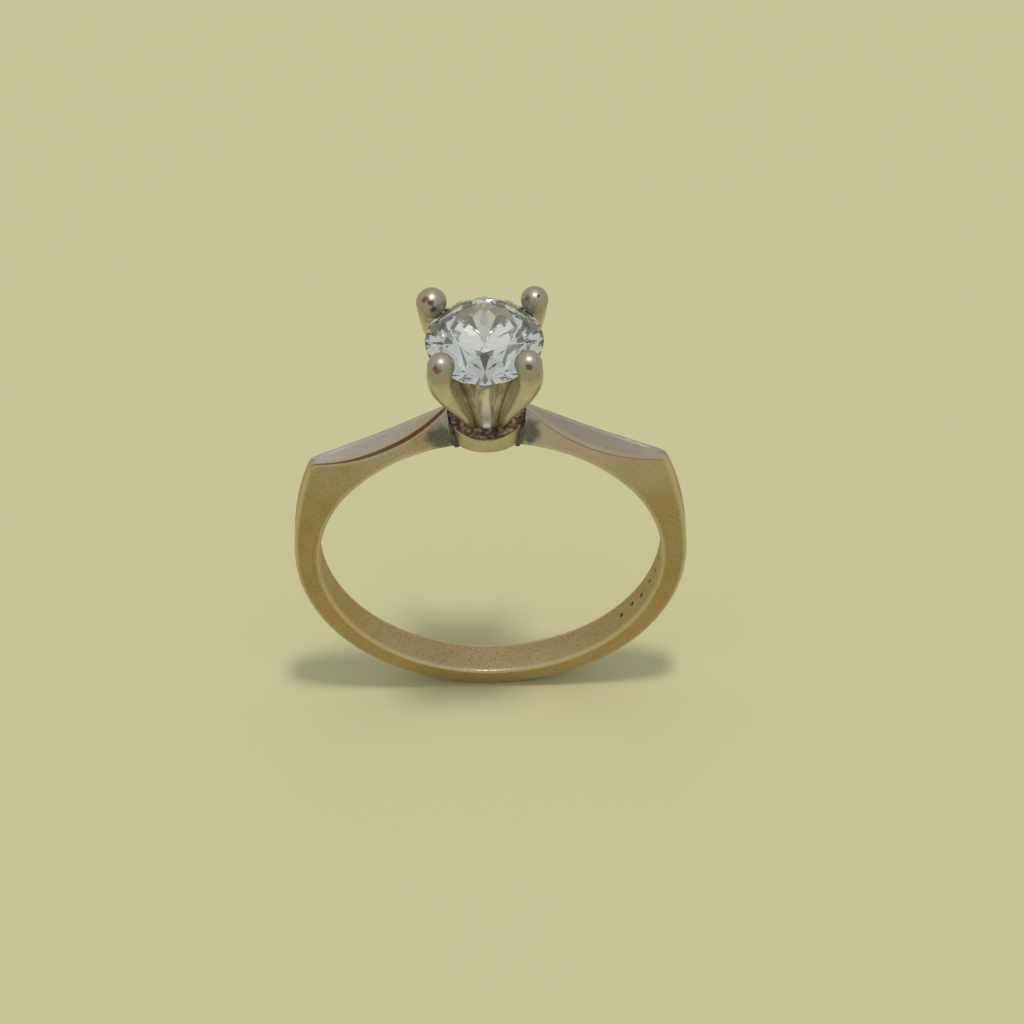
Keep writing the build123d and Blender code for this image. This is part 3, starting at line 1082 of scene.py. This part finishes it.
# %% Draw one ring of a claw
def claw_hoop(bm, ring, number, heading, way, flank_value):
    """One ring of points: squared in the claw's body, and drawn in behind to the cup's wall."""
    centre, half_width, half_depth = ring
    across = Vector((-sin(way), cos(way), 0))
    side = (across - heading * across.dot(heading)).normalized()
    back = heading.cross(side)
    axes_of_ring = Matrix((side * half_width, back * half_depth, heading)).transposed().to_4x4()
    to_ring = Matrix.Translation(centre) @ axes_of_ring
    hoop = bmesh.ops.create_circle(bm, segments=ring_points, radius=1, matrix=to_ring)["verts"]
    squared = smooth_step(number, *squared_in) * smooth_step(number, *squared_out)
    to_wall = hypot(centre.x, centre.y) - wall_reach(centre.z) + web_overlap
    web = max(to_wall / half_depth - 1, 0.0) * smooth_step(number, *web_out)
    inwards = Vector((-cos(way), -sin(way), 0))
    inwards = (inwards - heading * inwards.dot(heading)).normalized()
    for point in hoop:
        offset = point.co - centre
        wide = abs(offset.dot(side)) / half_width
        deep = abs(offset.dot(back)) / half_depth
        fuller = (wide**squareness + deep**squareness) ** (-1 / squareness)
        offset *= 1 + (fuller - 1) * squared
        inner = max(offset.dot(inwards), 0.0)
        point[flank_value] = smooth_step(inner / half_depth, *flank_fade) * min(web * 3, 1.0)
        offset -= side * offset.dot(side) * web_taper * point[flank_value]
        point.co = centre + offset + inwards * inner * web
    return [edge for edge in bm.edges if edge.verts[0] in hoop and edge.verts[1] in hoop]


# %% Skin, close and settle a claw
def claw(corner, azimuth, beyond_edge, bead_rise, bow, stoutness):
    bm = bmesh.new()
    flank_value = bm.verts.layers.float.new("flank")
    rings, tip = claw_rings(azimuth, beyond_edge, bead_rise, bow, stoutness)
    hoops = []
    for number, ring in enumerate(rings):
        before = rings[max(number - 1, 0)][0]
        after = rings[min(number + 1, len(rings) - 1)][0]
        heading = (after - before).normalized()
        hoops.append(claw_hoop(bm, ring, number, heading, radians(azimuth), flank_value))
    for lower, upper in zip(hoops, hoops[1:]):
        bmesh.ops.bridge_loops(bm, edges=lower + upper)
    for hoop, pole in ((hoops[0], rings[0][0]), (hoops[-1], tip)):
        drawn_in = bmesh.ops.extrude_edge_only(bm, edges=hoop)["geom"]
        bmesh.ops.pointmerge(bm, verts=only(bmesh.types.BMVert, drawn_in), merge_co=pole)
    bm.normal_update()
    for point in bm.verts:
        reach = hypot(point.co.x, point.co.y)
        wall = wall_reach(point.co.z) + wall_gap
        if point.co.z < seat_outside + 0.1 and reach < wall:
            spread(point, wall / reach)
        point.co = clear_of_stone(point.co)
        point.co += point.normal * noise.noise(point.co * 1.3) * 0.012
    settle(bm, "petal_" + corner, "claw_" + corner, claw_gold, crease=50)


claw("front_left", 225, 0.10, 0.43, 0.17, 1.0)
claw("front_right", 315, 0.10, 0.47, 0.17, 1.0)
claw("rear_left", 137, 0.60, 0.33, 0.02, 1.12)
claw("rear_right", 43, 0.50, 0.45, -0.08, 1.0)

# %% [markdown]
# ## The brilliant
#
# A brilliant is ground from a round blank, one flat at a time, and here `bisect_plane` grinds: it
# cuts the blank by a plane and throws away what is outside. The table, 8 main facets, 8 stars and
# 16 upper girdle facets make the crown, and 8 mains and 16 lower girdle facets the pavilion.

# %% Grind the stone
star_rise = (crown_height - star_height) / (star_reach - table_flat)
upper_rise = star_height / (cos(quarter_step) * (stone_radius - star_reach))
lower_rise = lower_depth / (cos(quarter_step) * (stone_radius - lower_reach))
girdle_flat = stone_radius * cos(quarter_step)
stone = bmesh.new()
bmesh.ops.create_cone(
    stone,
    cap_ends=True,
    segments=128,
    radius1=stone_radius,
    radius2=stone_radius,
    depth=2 * girdle_half + crown_height + pavilion_depth,
    matrix=Matrix.Translation((0, 0, (crown_height - pavilion_depth) / 2)),
)


def grind(azimuth, rise, reach, height, facing):
    """Grinds one facet through the point at a reach and a height; facing is 1 up, -1 down."""
    tilt = atan(rise)
    outwards = Vector((sin(tilt) * cos(azimuth), sin(tilt) * sin(azimuth), facing * cos(tilt)))
    spot = Vector((reach * cos(azimuth), reach * sin(azimuth), height))
    whole = stone.verts[:] + stone.edges[:] + stone.faces[:]
    bmesh.ops.bisect_plane(stone, geom=whole, dist=1e-4, plane_co=spot, plane_no=outwards, clear_outer=True)
    rim = [edge for edge in stone.edges if edge.is_boundary]
    bmesh.ops.edgeloop_fill(stone, edges=rim)


for number in range(8):
    main = 2 * half_step * number
    grind(main, crown_rise, stone_radius, girdle_half, 1)
    grind(main, pavilion_rise, stone_radius, -girdle_half, -1)
    grind(main + half_step, star_rise, table_flat, girdle_half + crown_height, 1)
    for azimuth in (main - quarter_step, main + quarter_step):
        grind(azimuth, upper_rise, girdle_flat, girdle_half, 1)
        grind(azimuth, lower_rise, girdle_flat, -girdle_half, -1)
flats = sum(1 for face in stone.faces if abs(face.normal.z) > 0.05)
print("the stone has", flats, "flat facets")
bmesh.ops.rotate(stone, verts=stone.verts, matrix=stone_turn)
bmesh.ops.translate(stone, verts=stone.verts, vec=stone_centre)
settle(stone, "brilliant", "stone", clear_stone, crease=3)

# %% [markdown]
# ## Floor, light and camera
#
# The ring stands on a plain pale floor. A sun lamp with a broad disc, like a round studio lamp
# high overhead, lights the floor and gives the sparks on the beads. The sky gives the soft light:
# cool above, and warm like the floor low down, so that the two meet gently. The metal and the
# stone reflect a dark card where the viewer stands and a small bright one behind the ring. The
# camera looks down from the front with a long lens.

# %% The floor
floor_gap = 0.02
floor_level = -(outer_radius + floor_gap) * mm
floor_bm = bmesh.new()
bmesh.ops.create_grid(floor_bm, x_segments=1, y_segments=1, size=1.5)
bmesh.ops.translate(floor_bm, verts=floor_bm.verts, vec=(0, 0, floor_level))
floor_mesh = bpy.data.meshes.new("floor")
floor_bm.to_mesh(floor_mesh)
floor_bm.free()
floor = placed("floor", floor_mesh)
pale_floor, finish = new_finish("pale_floor")
surface(finish, {"Base Color": (0.60, 0.575, 0.34, 1), "Roughness": 0.9, "Specular IOR Level": 0.2})
floor_mesh.materials.append(pale_floor)
print("the floor is", round(floor_level / mm, 2), "mm from the bore's centre")

# %% The sky
world = bpy.data.worlds.new("studio")
bpy.context.scene.world = world
world.use_nodes = True
sky = Finish(world.node_tree)
direction = sky.node("ShaderNodeTexCoord", output="Generated")
upwards = sky.axes(direction)[2]
to_viewer = sky.measured("DOT_PRODUCT", direction, (-0.06, -0.70, 0.71))
to_back = sky.measured("DOT_PRODUCT", direction, (0.0, 0.617, 0.787))
sky_colour = sky.layered(
    (0.55, 0.58, 0.58, 1),
    (sky.step(upwards, 0.35, 0.0), (0.57, 0.55, 0.42, 1)),
    (sky.step(upwards, 0.12, 0.0), (0.58, 0.57, 0.33, 1)),
    (sky.step(to_viewer, 0.965, 0.985) * 0.9, (0.09, 0.045, 0.03, 1)),
    (sky.step(to_back, 0.982, 0.992), (1.1, 1.06, 0.93, 1)),
)
light = {"Color": sky_colour, "Strength": 1.0}
background = sky.node("ShaderNodeBackground", values=light, output="Background")
sky.node("ShaderNodeOutputWorld", values={"Surface": background})
print("the sky has", len(sky.tree.nodes), "nodes")

# %% The lamp
lamp_data = bpy.data.lights.new("overhead_lamp", "SUN")
lamp_data.energy = 1.27
lamp_data.angle = radians(6.9)
lamp_data.color = (1.0, 0.96, 0.88)
lamp = placed("overhead_lamp", lamp_data)
lamp_way = Vector((-0.10, 0.07, -1.40))
lamp.rotation_euler = lamp_way.to_track_quat("-Z", "Y").to_euler()
print("lamp strength", lamp_data.energy)

# %% The camera
camera_elevation = 0.818889
camera_turn = -0.00566
camera_roll = 0.0258
camera_distance = 247.909
lens_pull = 4.8828
sideways, downwards = -1.0572, -1.6314
across, along = sin(camera_elevation), cos(camera_elevation)
look = Matrix(((1, 0, 0), (0, across, along), (0, along, -across)))
axes = Matrix.Rotation(camera_roll, 3, "Z") @ look @ Matrix.Rotation(camera_turn, 3, "Z")
right, up, forward = axes
spot = axes.transposed() @ Vector((sideways, downwards, camera_distance)) * -mm
camera_data = bpy.data.cameras.new("camera")
camera_data.sensor_width = 36
camera_data.lens = lens_pull * camera_data.sensor_width
camera_data.clip_start = 0.01
camera = placed("camera", camera_data)
camera.matrix_world = Matrix((right, up, -forward)).transposed().to_4x4()
camera.location = spot
bpy.context.scene.camera = camera
bpy.context.scene.view_settings.view_transform = "Standard"
print("camera stands", round(spot.length, 3), "m from the bore's centre")
